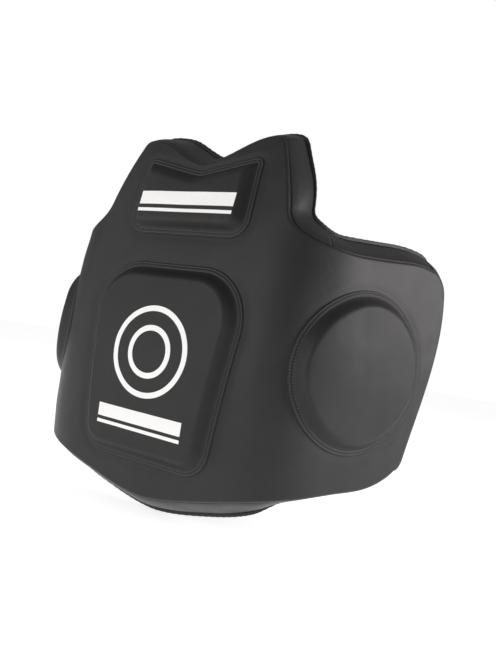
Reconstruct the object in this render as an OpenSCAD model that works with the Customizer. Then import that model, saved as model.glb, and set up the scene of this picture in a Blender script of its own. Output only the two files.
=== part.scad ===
// Trainer belly pad: the body shield that a boxing or martial arts coach wears while a student strikes it.
// A curved foam body in a sewn cover carries raised strike pads. Shoulder straps and a waist belt close it.
// Frame: +Z is up as worn, -Y is forwards, +X is the wearer's left.
// The origin is on the inner lining, at the centreline and at the height of the waist belt.
// A place on the body is (s, z, d): s along the curved front from the centreline, z up from a level just
// under the front panel, d inwards from the outer face.

/* [Body outline] */
// Height of the neck notch
neck_h = 500; // [480:1:520]
// Height of the shoulder tips
shoulder_h = 542; // [530:1:560]
// Inner end of the shoulder tip, from the centreline
shoulder_in = 107; // [98:1:110]
// Outer end of the shoulder tip, from the centreline
shoulder_out = 126; // [121:1:130]
// Height of the flank's top edge under the arm
flank_h = 391; // [380:1:400]
// Foot of the armhole curve, along the front from the centreline
armhole_s = 262; // [250:1:275]
// Rear edge at its top, along the front from the centreline
rear_s = 452; // [440:1:465]
// Height of the rear top corner
rear_top_h = 402; // [391:1:412]
// Height of the rear bottom corner
rear_low_h = 100; // [90:1:115]
// Bow of the rear edge between its corners
rear_bow = 24; // [0:1:30]
// How much further the bow reaches at its upper half than at its lower half
rear_skew = 26; // [0:1:30]

/* [Body shape] */
// Direction of the flank, measured from straight sideways
flank_angle = 65; // [55:1:72]
// Start of the bend into the flank
bend_start = 100; // [90:1:110]
// End of the bend into the flank
bend_end = 305; // [295:1:330]
// Backward lean of the front between mid height and top
pitch = 22; // [10:1:30]
// Backward curl of the front at top and bottom
curl = 25; // [10:1:30]
// Thickness of the body, cover to lining
body_t = 45; // [40:1:55]
// Reach of the lining edge past the cover edge at the neck and the hem
bevel = 23; // [12:1:28]
// Reach of the lining edge past the cover edge at the armholes
armhole_bevel = 34; // [24:1:36]

/* [Strike pads] */
// Height that a strike pad stands out
pad_rise = 13; // [8:1:18]
// Half width of the belly pad at its top
belly_top_w = 141; // [130:1:146]
// Half width of the belly pad at its bottom
belly_low_w = 113; // [100:1:120]
// Height of the belly pad's top edge
belly_top_h = 345; // [335:1:355]
// Height of the belly pad's bottom edge
belly_low_h = 53; // [45:1:60]
// Radius of the round side pads
side_pad_r = 115; // [90:1:118]
// Place of the side pad's centre along the front
side_pad_s = 318; // [312:1:324]
// Height of the side pad's centre
side_pad_h = 234; // [225:1:245]

/* [Harness] */
// Height of the waist belt
waist_h = 220; // [200:1:240]
// Width of the waist webbing
belt_w = 40; // [30:1:45]
// Width of the padded shoulder straps
strap_w = 46; // [40:1:50]
// Thickness of the padded shoulder straps
strap_t = 8; // [6:1:10]
// Width of the shoulder webbing
web_w = 38; // [30:1:40]
// Thickness of all webbing
web_t = 2.2; // [1.6:0.1:2.6]
// Sideways place of the shoulder straps where they are sewn on
strap_x = 92; // [88:1:96]
// Turn of the shoulder straps towards the centre
strap_splay = 7.5; // [5:0.5:8.5]

/* [Hidden] */

leather = [0.12, 0.12, 0.125];
strike_leather = [0.09, 0.09, 0.095];
lining_cloth = [0.07, 0.07, 0.075];
foam_grey = [0.35, 0.35, 0.37];
webbing_black = [0.06, 0.06, 0.065];
plastic_black = [0.05, 0.05, 0.05];
print_white = [0.92, 0.92, 0.92];

skin_t = 1.2;             // leather and lining cloth
gap = 0.3;                // between pieces that lie on each other
foam_gap = 0.9;           // between the foam and the flat cells of the curved skins
mid_h = 280;              // height at which the front's profile is measured
lining_d = body_t - skin_t;
foam_split = 31;          // depth at which the two foams meet
pad_gap = 1;              // from a strike pad to the curved cover under it
rows = 8;                 // cells from hem to top edge

// ---- Curves ----

function ease(t) = let(u = min(max(t, 0), 1)) u*u*u*(u*(6*u - 15) + 10);

function bezier(p, t) = pow(1 - t, 3)*p[0] + 3*pow(1 - t, 2)*t*p[1] + 3*(1 - t)*t*t*p[2] + pow(t, 3)*p[3];

// Points of a cubic curve after its first point, in n steps
function curve(p, n) = [for (i = [1:n]) bezier(p, i/n)];

function unit(v) = v/norm(v);

// Points of an arc, in n steps
function arc(centre, r, from, to, n) = [
    for (i = [0:n]) let(a = from + (to - from)*i/n) centre + r*[cos(a), sin(a)]
];

// Unit normal to the left of a path at its point i
function left_normal(path, i) =
    let(v = unit(path[min(i + 1, len(path) - 1)] - path[max(i - 1, 0)])) [-v[1], v[0]];

// Outline of a flat ribbon of thickness t whose middle is the path
function ribbon(path, t) = let(n = len(path)) concat(
    [for (i = [0:n - 1]) path[i] + left_normal(path, i)*t/2],
    [for (i = [n - 1:-1:0]) path[i] - left_normal(path, i)*t/2]
);

// ---- Surface of the body ----

plan_step = 5;
function heading(a) = flank_angle*ease((a - bend_start)/(bend_end - bend_start));

// Plan curve as [s, x, y], summed along its heading
PLAN = [
    for (a = 0, x = 0, y = 0; a <= 600; x = x + plan_step*cos(heading(a + plan_step/2)),
         y = y + plan_step*sin(heading(a + plan_step/2)), a = a + plan_step) [a, x, y]
];
PLAN_X = [for (p = PLAN) [p[0], p[1]]];
PLAN_Y = [for (p = PLAN) [p[0], p[2]]];

function profile(z) = let(q = (z - mid_h)/mid_h) pitch*q + curl*q*q;
origin_y = body_t + profile(waist_h);

// Place of a point of the body in the part's frame
function at(s, z, d) = let(a = abs(s), h = heading(a)) [
    sign(s)*(lookup(a, PLAN_X) - sin(h)*d),
    lookup(a, PLAN_Y) + cos(h)*d + profile(z) - origin_y,
    z - waist_h
];

// ---- Outline: one column of cells runs from each hem point to the top point above it ----

tip_h = shoulder_h - 8;
armpit = [160, 435];
TOP = concat(
    [[0, neck_h]],
    curve([[0, neck_h], [40, neck_h + 8], [72, shoulder_h], [shoulder_in, shoulder_h]], 5),
    curve([[shoulder_in, shoulder_h], [116, shoulder_h], [123, tip_h + 6], [shoulder_out, tip_h]], 2),
    curve([[shoulder_out, tip_h], [133, tip_h - 16], [149, 480], armpit], 4),
    curve([armpit, [167, 407], [205, flank_h + 2], [armhole_s, flank_h]], 5),
    curve([[armhole_s, flank_h], [300, flank_h - 1], [400, rear_top_h + 8], [rear_s, rear_top_h]], 6)
);
cols = len(TOP) - 1;
tip_col = 6;              // the neck and armhole gussets meet here
seam_col = 15;            // the armhole and flank gussets meet here

hem_h = 4;                // height of the hem at the centreline
rear_low_s = rear_s - 16;
HEM_CURVE = concat(
    [[0, hem_h]],
    curve([[0, hem_h], [55, hem_h], [160, 44], [234, 54]], 12),
    curve([[234, 54], [270, 59], [305, 64], [340, 67]], 6),
    curve([[340, 67], [375, 70], [412, rear_low_h - 22], [rear_low_s, rear_low_h]], 8)
);
HEM = [for (p = TOP) let(s = p[0]*rear_low_s/rear_s) [s, lookup(s, HEM_CURVE)]];

// Value that goes from a to b while s goes from s0 to s1
function fade(a, b, s, s0, s1) = a + (b - a)*ease((s - s0)/(s1 - s0));

tip_bevel = 18;           // reach of the lining edge at the shoulder tips
flank_bevel = 28;         // reach of the lining edge at the top of the flanks
rear_bevel = 6;           // reach of the lining edge at the rear edges
corner_bevel = 12;        // reach of the lining edge at the rear bottom corners

// Reach of the lining edge above the top outline at column c, from the neck to the flank
function top_bevel(c) = let(s = TOP[c][0])
    s < 115 ? fade(bevel, tip_bevel, s, 60, 105)
    : s < 190 ? fade(tip_bevel, armhole_bevel, s, 124, 159)
    : fade(armhole_bevel, flank_bevel, s, 190, 280);

// Reach of the lining edge below the hem at column c
function hem_bevel(c) = fade(bevel, corner_bevel, HEM[c][0], 166, 279);

// Outline points moved outwards: k is the share of the bevel, and inset is taken off it
function top_at(c, k, inset) = TOP[c] + left_normal(TOP, c)*(top_bevel(c)*k - inset);
function hem_at(c, k, inset) = HEM[c] - left_normal(HEM, c)*(hem_bevel(c)*k - inset);

rear_start = 330;         // where the rear edge's shape begins, along the front

// How strongly column c belongs to the rear edge
function rear_share(c) = ease((TOP[c][0] - rear_start)/(rear_s - rear_start));

// Bow of the rear edge at share v of the way up it
function rear_curve(v) = 4*v*(1 - v)*(rear_bow + rear_skew*(v - 0.5));

// Point v of the way up column c, with c below 0 on the wearer's right
function column(c, v, k, inset) = let(
    a = abs(c),
    p = hem_at(a, k, inset)*(1 - v) + top_at(a, k, inset)*v,
    s = p[0] + rear_share(a)*(rear_curve(v) + rear_bevel*k - inset)
) [c < 0 ? -s : (c == 0 ? 0 : s), p[1]];

function body_point(c, v, d, inset) = let(p = column(c, v, d/body_t, inset)) at(p[0], p[1], d);

// ---- Solids from grids of points ----

// Closed solid between two grids, nu by nv cells, where i runs to +s and j runs up
module slab(nu, nv, front, back) {
    w = nv + 1;
    n = (nu + 1)*w;
    points = [for (side = [front, back], i = [0:nu], j = [0:nv]) side(i, j)];
    faces = concat(
        [for (i = [0:nu - 1], j = [0:nv - 1]) let(a = i*w + j) each [[a, a + 1, a + w + 1], [a, a + w + 1, a + w]]],
        [for (i = [0:nu - 1], j = [0:nv - 1]) let(a = n + i*w + j) each [[a, a + w + 1, a + 1], [a, a + w, a + w + 1]]],
        [for (i = [0:nu - 1]) let(a = i*w) each [[a, a + w, n + a + w], [a, n + a + w, n + a]]],
        [for (i = [0:nu - 1]) let(a = i*w + nv) each [[a + w, a, n + a], [a + w, n + a, n + a + w]]],
        [for (j = [0:nv - 1]) each [[j + 1, j, n + j], [j + 1, n + j, n + j + 1]]],
        [for (j = [0:nv - 1]) let(a = nu*w + j) each [[a, a + 1, n + a + 1], [a, n + a + 1, n + a]]]
    );
    polyhedron(points, faces);
}

// Closed solid between two round grids, na spokes by nr rings around a middle point
module disc(na, nr, front, back) {
    n = na*nr + 1;
    points = [
        for (side = [front, back])
            each concat([side(0, 0)], [for (r = [1:nr], a = [0:na - 1]) side(a, r/nr)])
    ];
    function id(a, r) = 1 + (r - 1)*na + a%na;
    faces = concat(
        [for (a = [0:na - 1]) [0, id(a + 1, 1), id(a, 1)]],
        [for (a = [0:na - 1]) [n, n + id(a, 1), n + id(a + 1, 1)]],
        [for (a = [0:na - 1], r = [1:1:nr - 1]) each [
            [id(a, r), id(a + 1, r + 1), id(a, r + 1)], [id(a, r), id(a + 1, r), id(a + 1, r + 1)]]],
        [for (a = [0:na - 1], r = [1:1:nr - 1]) each [
            [n + id(a, r), n + id(a, r + 1), n + id(a + 1, r + 1)],
            [n + id(a, r), n + id(a + 1, r + 1), n + id(a + 1, r)]]],
        [for (a = [0:na - 1]) each [
            [id(a, nr), id(a + 1, nr), n + id(a + 1, nr)], [id(a, nr), n + id(a + 1, nr), n + id(a, nr)]]]
    );
    polyhedron(points, faces);
}

// Layer of the body between depths d0 and d1, held back from the outline by inset
module layer(d0, d1, inset0, inset1) {
    slab(2*cols, rows,
         function(i, j) body_point(i - cols, j/rows, d0, inset0),
         function(i, j) body_point(i - cols, j/rows, d1, inset1));
}

gusset_d0 = skin_t + gap;
gusset_d1 = lining_d - gap;
foam_inset = skin_t + gap + 4;   // clears the flat cells of the gussets in the armholes

// Strip that closes the body along its outline: at(i, d, inset) gives its points over n steps
module gusset(n, place) {
    slab(n, 1,
         function(i, j) place(i, j == 0 ? gusset_d1 : gusset_d0, 0),
         function(i, j) place(i, j == 0 ? gusset_d1 : gusset_d0, skin_t));
}

// Gusset along the top outline from column c0 to c1
module top_gusset(c0, c1) {
    gusset(c1 - c0, function(i, d, inset) body_point(c0 + i, 1, d, inset));
}

// ---- Body ----

module outer_shell() {
    color(leather) layer(0, skin_t, 0, 0);
}

module neck_gusset() {
    color(leather) top_gusset(-tip_col, tip_col);
}

module armhole_gusset_left() {
    color(leather) top_gusset(tip_col, seam_col);
}

module armhole_gusset_right() {
    color(leather) top_gusset(-seam_col, -tip_col);
}

module flank_gusset_left() {
    color(leather) top_gusset(seam_col, cols);
}

module flank_gusset_right() {
    color(leather) top_gusset(-cols, -seam_col);
}

// Gusset along a rear edge, between the flank gusset and the hem gusset
module rear_gusset(side) {
    first = 0.012;
    last = 0.988;
    color(leather)
        gusset(rows, function(i, d, inset)
            let(v = first + (last - first)*(side > 0 ? rows - i : i)/rows) body_point(side*cols, v, d, inset));
}

module rear_gusset_left() {
    rear_gusset(1);
}

module rear_gusset_right() {
    rear_gusset(-1);
}

module hem_gusset() {
    color(leather)
        gusset(2*cols, function(i, d, inset) body_point(cols - i, 0, d, inset));
}

module inner_lining() {
    color(lining_cloth) layer(lining_d, body_t, 0, 0);
}

module impact_foam() {
    color(foam_grey) layer(skin_t + foam_gap, foam_split, foam_inset, foam_inset);
}

module comfort_foam() {
    color(foam_grey) layer(foam_split + gap, lining_d - foam_gap, foam_inset, foam_inset);
}

// ---- Strike pads ----

// Outline through corners [s, z, radius], with each round corner in n steps and each side in m steps
function rounded_corner(p, q, r, n) = let(
    c = [q[0], q[1]],
    u = unit([p[0], p[1]] - c),
    v = unit([r[0], r[1]] - c),
    half = acos(u*v)/2,
    m = c + unit(u + v)*q[2]/sin(half),
    a0 = c + u*q[2]/tan(half) - m,
    a1 = c + v*q[2]/tan(half) - m,
    from = atan2(a0[1], a0[0]),
    turn = atan2(a1[1], a1[0]) - from,
    sweep = turn > 180 ? turn - 360 : (turn < -180 ? turn + 360 : turn)
) arc(m, q[2], from, from + sweep, n);

function rounded_outline(corners, n, m) = let(
    k = len(corners),
    arcs = [for (i = [0:k - 1]) rounded_corner(corners[(i + k - 1)%k], corners[i], corners[(i + 1)%k], n)]
) [
    for (i = [0:k - 1]) each concat(
        arcs[i],
        [for (j = [1:1:m - 1]) arcs[i][n]*(1 - j/m) + arcs[(i + 1)%k][0]*j/m]
    )
];

rim = 0.2;                // share of a pad's radius that slopes down to its seam
foam_edge = 0.88;         // share of a pad's radius that its foam fills
PAD_RINGS = [0, 0.27, 0.53, 1 - rim, foam_edge];

// Pad height above its seam at share f of the way from its middle to its outline
function pad_height(f) = pad_rise*min(1, (1 - f)/rim);

// Solid between two surfaces of a pad, with its rings at these shares of its outline
module pad_solid(outline, middle, rings, top, bottom) {
    n = len(rings) - 1;
    function place(a, r, lift) =
        let(p = middle + rings[r*n]*(outline[a] - middle)) at(p[0], p[1], -pad_gap - lift(rings[r*n]));
    disc(len(outline), n, function(a, r) place(a, r, top), function(a, r) place(a, r, bottom));
}

// Leather cover of a pad, as a sheet that lies flat at its seam
module pad_cover(outline, middle) {
    color(strike_leather)
        pad_solid(outline, middle, concat(PAD_RINGS, [1]),
                  function(f) pad_height(f) + skin_t, function(f) pad_height(f));
}

// Foam block of a pad, under its cover
module pad_foam(outline, middle) {
    color(foam_grey)
        pad_solid(outline, middle, PAD_RINGS, function(f) pad_height(f) - gap, function(f) gap);
}

belly_middle = [0, 200];
BELLY = rounded_outline([
    [-belly_top_w, belly_top_h, 78], [belly_top_w, belly_top_h, 78],
    [belly_low_w, belly_low_h, 44], [-belly_low_w, belly_low_h, 44]
], 4, 4);

chest_middle = [0, 445];
CHEST = rounded_outline([
    [-103, 511, 12], [0, 487, 30], [103, 511, 12], [109, 387, 30], [-109, 387, 30]
], 3, 3);

side_middle = [side_pad_s, side_pad_h];
SIDE = arc(side_middle, side_pad_r, 180, -167.14, 27);
OTHER_SIDE = [for (p = SIDE) [-p[0], p[1]]];
other_middle = [-side_pad_s, side_pad_h];

// The same outline read the other way round, which keeps a mirrored pad's faces outwards
function backwards(list) = [for (i = [len(list) - 1:-1:0]) list[i]];

module belly_pad_cover() {
    pad_cover(BELLY, belly_middle);
}

module belly_pad_foam() {
    pad_foam(BELLY, belly_middle);
}

module chest_pad_cover() {
    pad_cover(CHEST, chest_middle);
}

module chest_pad_foam() {
    pad_foam(CHEST, chest_middle);
}

module side_pad_cover_left() {
    pad_cover(SIDE, side_middle);
}

module side_pad_cover_right() {
    pad_cover(backwards(OTHER_SIDE), other_middle);
}

module side_pad_foam_left() {
    pad_foam(SIDE, side_middle);
}

module side_pad_foam_right() {
    pad_foam(backwards(OTHER_SIDE), other_middle);
}

// ---- Printed marks: thin film on the raised faces ----

film_t = 0.3;
film_d = -pad_gap - pad_rise - skin_t - gap;

// Film over a band from a0 to a1 along one direction and b0 to b1 along the other
module film(nu, nv, place) {
    slab(nu, nv,
         function(i, j) let(p = place(i, j)) at(p[0], p[1], film_d - film_t),
         function(i, j) let(p = place(i, j)) at(p[0], p[1], film_d));
}

target_h = 215;
RINGS = [[30, 38], [58, 66]];
module belly_target() {
    color(print_white) {
        for (r = RINGS)
            for (half = [0, 180])
                film(10, 1, function(i, j)
                    let(a = half + 180 - 18*i, q = j == 0 ? r[0] : r[1]) [q*cos(a), target_h + q*sin(a)]);
    }
}

// Straight bars, each from [s0, s1, z0, z1]
module stripes(bars) {
    color(print_white)
        for (bar = bars)
            film(1, 1, function(i, j) [bar[i], bar[2 + j]]);
}

module belly_stripes() {
    stripes([[-76, 76, 110, 129], [-76, 76, 100, 105]]);
}

module chest_stripes() {
    stripes([[-84, 84, 430, 450], [-84, 84, 419, 424]]);
}

// ---- Shoulder straps: each is sewn inside a shoulder tip, folds over and runs down to the waist belt ----

sew_low_h = 476;
sew_high_h = 530;
strap_skin_gap = 1.2;     // keeps the flat strap clear of the curved lining
belt_y = 270 - origin_y;

// Strap path in (y, z), seen from the side
sew_low = let(p = at(strap_x, sew_low_h, body_t)) [p[1], p[2]];
sew_high = let(p = at(strap_x, sew_high_h, body_t)) [p[1], p[2]];
sew_dir = unit(sew_high - sew_low);
sew_out = [sew_dir[1], -sew_dir[0]];
strap_off = sew_out*(strap_skin_gap + strap_t/2);
fold_r = 9;
fold_mid = sew_high + strap_off + sew_out*fold_r;
sew_angle = atan2(sew_dir[1], sew_dir[0]);

// The straight run ends above the belt, and the webbing is sewn to the belt's inner face
belt_top = [belt_y - web_t - gap, belt_w/2 + 14];
run_aim = belt_top - fold_mid;
run_angle = atan2(run_aim[1], run_aim[0]) - asin(fold_r/norm(run_aim));
fold_end = fold_mid + fold_r*[cos(run_angle + 90), sin(run_angle + 90)];
run_dir = [cos(run_angle), sin(run_angle)];
pad_len = 175;            // padded stretch after the fold

STRAP_PATH = concat(
    [sew_low + strap_off],
    arc(fold_mid, fold_r, sew_angle + 90, run_angle + 90, 8),
    [fold_end + run_dir*pad_len]
);
web_start = fold_end + run_dir*(pad_len + 0.4);
WEB_PATH = [web_start, belt_top - run_dir*8, belt_top - [0.9, 0], belt_top - [0, 8], [belt_top[0], 3 - belt_w/2]];

// Places a solid made around x = 0 at a shoulder: side is 1 on the wearer's left
module at_shoulder(side) {
    pivot = [side*strap_x, fold_mid[0], fold_mid[1]];
    translate(pivot) rotate([0, side*strap_splay, 0]) translate([0, -fold_mid[0], -fold_mid[1]]) children();
}

// Ribbon of width w along a path seen from the side
module side_ribbon(path, w, t) {
    rotate([90, 0, 90]) translate([0, 0, -w/2]) linear_extrude(w) polygon(ribbon(path, t));
}

module shoulder_strap(side) {
    color(leather) at_shoulder(side) side_ribbon(STRAP_PATH, strap_w, strap_t);
}

module shoulder_webbing(side) {
    color(webbing_black) at_shoulder(side) side_ribbon(WEB_PATH, web_w, web_t);
}

// Reinforcing patch over the sewn end of a strap
module strap_anchor(side) {
    off = sew_out*(strap_skin_gap + strap_t + gap + 0.8);
    color(leather) at_shoulder(side)
        side_ribbon([sew_low + off - sew_dir*8, sew_low + off + sew_dir*34], strap_w + 10, 1.6);
}

// Three-bar slide, with the webbing in front of its middle bar and behind its outer bars
adjuster_at = 62;         // along the webbing from its start
module strap_adjuster(side) {
    place = web_start + run_dir*adjuster_at;
    bar = 4;
    inside = web_w + 1.6;
    clear = web_t/2 + 0.4;
    pitch_z = 11;
    color(plastic_black) at_shoulder(side)
        translate([0, place[0], place[1]]) rotate([run_angle + 90, 0, 0]) {
            for (k = [-1, 0, 1])
                translate([-inside/2 - 1, k == 0 ? clear : -clear - bar/2, k*pitch_z - bar/2])
                    cube([inside + 2, bar/2, bar]);
            for (e = [-1, 1])
                translate([e*(inside/2 + 2) - 2, -clear - bar/2, -pitch_z - bar/2])
                    cube([4, 2*clear + bar, 2*pitch_z + bar]);
        }
}

// ---- Waist belt: sewn inside each rear edge, it turns towards the buckle behind the wearer ----

belt_r = 18;
belt_sew_s = 425;
function lining_plan(s) = let(p = at(s, waist_h, body_t + 1 + web_t/2)) [p[0], p[1]];
belt_bend_y = belt_y - belt_r*(1 + cos(flank_angle));
belt_bend_s = belt_sew_s + (belt_bend_y - lining_plan(belt_sew_s)[1])/sin(flank_angle);
belt_bend = lining_plan(belt_bend_s);
bend_mid = belt_bend + belt_r*[-sin(flank_angle), cos(flank_angle)];
buckle_bar_x = 33;
hook_r = 3.2;             // turn of the webbing round a buckle bar

BELT_PATH = concat(
    [lining_plan(belt_sew_s)],
    arc(bend_mid, belt_r, flank_angle - 90, 90, 8),
    [[buckle_bar_x, belt_y]]
);

module belt_half(side) {
    mirrored = side < 0 ? [1, 0, 0] : [0, 0, 0];
    tail = 62;
    color(webbing_black) mirror(mirrored) translate([0, 0, -belt_w/2]) linear_extrude(belt_w) {
        polygon(ribbon(BELT_PATH, web_t));
        polygon(ribbon(concat(
            arc([buckle_bar_x, belt_y + hook_r], hook_r, 270, 90, 8),
            [[buckle_bar_x + tail, belt_y + 2*hook_r]]
        ), web_t));
    }
}

// Patch that covers the sewn end of the belt, on the lining
module belt_anchor(side) {
    mirrored = side < 0 ? [1, 0, 0] : [0, 0, 0];
    function off(s, d) = let(p = at(s, waist_h, body_t + d)) [p[0], p[1]];
    d = 1 + web_t + gap + 0.8;
    color(leather) mirror(mirrored) translate([0, 0, -belt_w/2 - 8]) linear_extrude(belt_w + 16)
        polygon(ribbon([off(belt_sew_s - 12, d), off(belt_bend_s - 6, d)], 1.6));
}

keeper_x = 80;
module belt_keeper(side) {
    inner = [12, 2*hook_r + web_t + 0.8, belt_w + 1.2];
    wall = 1.4;
    color(webbing_black)
        translate([side*keeper_x, belt_y + hook_r, 0]) difference() {
            cube(inner + [0, 2*wall, 2*wall], center = true);
            cube(inner + [2, 0, 0], center = true);
        }
}

// ---- Side-release buckle, closed ----

bk_z = 26.5;              // half height of the buckle
bk_y = 7.5;               // half thickness
bk_mid_y = belt_y + hook_r;
mouth_x = 8;
wall = 3;

// Slot in front of the bar that the webbing turns round
module bar_slot(side) {
    translate([side*(buckle_bar_x - 3.1), bk_mid_y, 0]) cube([4.4, 4*bk_y, belt_w + 3], center = true);
}

module buckle_block(x0, x1) {
    translate([(x0 + x1)/2, bk_mid_y, 0]) intersection() {
        cube([x1 - x0, 2*bk_y, 2*bk_z], center = true);
        rotate([90, 0, 0]) linear_extrude(2*bk_y, center = true)
            offset(5, $fn = 32) square([x1 - x0 - 10, 2*bk_z - 10], center = true);
    }
}

// Thin end that carries the webbing bar
module buckle_end(side) {
    x0 = 22;
    x1 = buckle_bar_x + 3.5;
    translate([side*(x0 + x1)/2, bk_mid_y, 0]) cube([x1 - x0, 2*hook_r - web_t - 0.8, 2*bk_z - 6], center = true);
}

module buckle_socket() {
    color(plastic_black) difference() {
        union() {
            buckle_block(-24, mouth_x);
            buckle_end(-1);
        }
        translate([-20, bk_mid_y - bk_y + wall, -bk_z + wall + 2.5])
            cube([mouth_x + 21, 2*(bk_y - wall), 2*(bk_z - wall - 2.5)]);
        for (e = [-1, 1])
            translate([-14.5, bk_mid_y - bk_y + wall, e*(bk_z - 3) - 4])
                cube([13, 2*(bk_y - wall), 8]);
        bar_slot(-1);
    }
}

module buckle_plug() {
    color(plastic_black) difference() {
        union() {
            buckle_block(mouth_x + 0.6, 24);
            buckle_end(1);
            translate([-14, bk_mid_y - 3, -5]) cube([mouth_x + 16, 6, 10]);
        }
        bar_slot(1);
    }
}

module buckle_arm(side) {
    arm_z = side*17;
    color(plastic_black) {
        translate([-15, bk_mid_y - 3.2, arm_z - 3]) cube([mouth_x + 15.2, 6.4, 6]);
        translate([-13.5, bk_mid_y - 3.2, side*21.5 - 2.5]) cube([11, 6.4, 5]);
    }
}

outer_shell();
neck_gusset();
armhole_gusset_left();
armhole_gusset_right();
flank_gusset_left();
flank_gusset_right();
rear_gusset_left();
rear_gusset_right();
hem_gusset();
inner_lining();
impact_foam();
comfort_foam();
belly_pad_cover();
belly_pad_foam();
chest_pad_cover();
chest_pad_foam();
side_pad_cover_left();
side_pad_cover_right();
side_pad_foam_left();
side_pad_foam_right();
belly_target();
belly_stripes();
chest_stripes();
strap_anchor(1);  // strap_anchor_left
strap_anchor(-1);  // strap_anchor_right
shoulder_strap(1);  // shoulder_strap_left
shoulder_strap(-1);  // shoulder_strap_right
shoulder_webbing(1);  // shoulder_webbing_left
shoulder_webbing(-1);  // shoulder_webbing_right
strap_adjuster(1);  // strap_adjuster_left
strap_adjuster(-1);  // strap_adjuster_right
belt_anchor(1);  // belt_anchor_left
belt_anchor(-1);  // belt_anchor_right
belt_half(1);  // waist_webbing_left
belt_half(-1);  // waist_webbing_right
belt_keeper(1);  // belt_keeper_left
belt_keeper(-1);  // belt_keeper_right
buckle_socket();
buckle_plug();
buckle_arm(1);  // buckle_arm_upper
buckle_arm(-1);  // buckle_arm_lower
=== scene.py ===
"""Looks of the trainer belly pad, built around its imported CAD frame.

Lengths of the part are in millimetres until solid() turns them into metres. Modifiers, materials, the
camera and the lights are in metres. Angles are in degrees where they are set.
A place on the body is (s, z, d): s along the curved front from the centreline, z up from a level just
under the front panel, and d inwards from the outer face, as in the CAD source.
"""

import math

import bpy
import numpy as np
from mathutils import Matrix, Vector
from mathutils.kdtree import KDTree


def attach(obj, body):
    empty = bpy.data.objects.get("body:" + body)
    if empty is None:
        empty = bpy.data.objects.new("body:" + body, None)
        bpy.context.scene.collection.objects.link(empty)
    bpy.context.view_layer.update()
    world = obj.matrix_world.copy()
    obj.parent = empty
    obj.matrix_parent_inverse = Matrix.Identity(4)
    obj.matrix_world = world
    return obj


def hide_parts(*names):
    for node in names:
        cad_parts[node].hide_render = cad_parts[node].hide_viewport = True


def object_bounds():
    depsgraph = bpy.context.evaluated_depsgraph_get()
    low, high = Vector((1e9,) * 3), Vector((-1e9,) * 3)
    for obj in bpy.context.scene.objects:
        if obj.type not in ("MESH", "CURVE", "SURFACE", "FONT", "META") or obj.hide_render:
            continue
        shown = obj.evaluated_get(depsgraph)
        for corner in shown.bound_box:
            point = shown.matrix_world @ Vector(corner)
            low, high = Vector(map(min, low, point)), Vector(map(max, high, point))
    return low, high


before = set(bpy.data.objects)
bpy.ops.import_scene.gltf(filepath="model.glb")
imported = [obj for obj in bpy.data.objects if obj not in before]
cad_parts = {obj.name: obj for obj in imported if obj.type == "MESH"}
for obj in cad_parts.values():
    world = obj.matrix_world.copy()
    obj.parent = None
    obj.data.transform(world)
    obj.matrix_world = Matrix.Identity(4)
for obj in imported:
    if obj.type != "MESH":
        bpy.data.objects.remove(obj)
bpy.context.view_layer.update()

MM = 0.001
SIDES = ((1, "left"), (-1, "right"))   # sign of s or x, and the wearer's side

# ---- Driving dimensions, as in the CAD source ----

FLANK_ANGLE, BEND_START, BEND_END = 65, 100, 305
PITCH, CURL, MID_H, WAIST_H = 22, 25, 280, 220
BODY_T = 45
BEVEL, TIP_BEVEL, ARMHOLE_BEVEL, FLANK_BEVEL = 23, 18, 34, 28   # reach of the lining's edge past the cover's
REAR_BEVEL, CORNER_BEVEL = 6, 12
REAR_S, REAR_LOW_S, REAR_BOW, REAR_SKEW, REAR_START = 452, 436, 24, 26, 330
SKIN_T = 1.2
GAP = 0.3                 # between pieces that lie on each other
FOAM_GAP = 0.9            # between the foam and the skins round it
FOAM_SPLIT = 31           # depth at which the two foams meet
FOAM_INSET = 5.5          # foam held back from the outline
PAD_RISE = 13

TOP_CURVES = [
    [(0, 500), (40, 508), (72, 542), (107, 542)],
    [(107, 542), (116, 542), (123, 540), (126, 534)],
    [(126, 534), (133, 518), (149, 480), (160, 435)],
    [(160, 435), (167, 407), (205, 393), (262, 391)],
    [(262, 391), (300, 390), (400, 410), (452, 402)],
]
HEM_CURVES = [
    [(0, 4), (55, 4), (160, 44), (234, 54)],
    [(234, 54), (270, 59), (305, 64), (340, 67)],
    [(340, 67), (375, 70), (412, 78), (436, 100)],
]
TIP_S, SEAM_S = 118.75, 230.2      # where gussets meet: at the shoulder tip and below the armhole

# Steps of the lining edge's reach: from, to, and the s where each starts and ends
TOP_FADES = [(BEVEL, TIP_BEVEL, 60, 105), (TIP_BEVEL, ARMHOLE_BEVEL, 124, 159),
             (ARMHOLE_BEVEL, FLANK_BEVEL, 190, 280)]
HEM_FADES = [(BEVEL, CORNER_BEVEL, 166, 279)]

TOP_SOFT, CENTRE_FADE = 24, 30     # reach of the softening of offset directions, and of their turn upright
TOP_CORNER, LOW_CORNER = (0.1, 24), (0.06, 10)   # round rear corners: share of the rear edge, and reach in


# ---- Curves and the surface of the body ----

def ease(t):
    u = np.clip(t, 0, 1)
    return u*u*u*(u*(6*u - 15) + 10)


def bezier_path(curves, steps=60):
    """Points along joined cubic curves."""
    t = np.linspace(0, 1, steps + 1)[:, None]
    weights = [(1 - t)**3, 3*(1 - t)**2*t, 3*(1 - t)*t*t, t**3]
    parts = [sum(w*np.array(p, float) for w, p in zip(weights, c)) for c in curves]
    return np.concatenate([parts[0]] + [p[1:] for p in parts[1:]])


def lengths(path):
    """Distance of each point of a path from its start, along the path."""
    return np.concatenate([[0], np.cumsum(np.linalg.norm(np.diff(path, axis=0), axis=1))])


def look_up(place, along, table):
    """Rows of a table at places between its own, which are at along."""
    return np.stack([np.interp(place, along, column) for column in table.T], -1)


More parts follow.
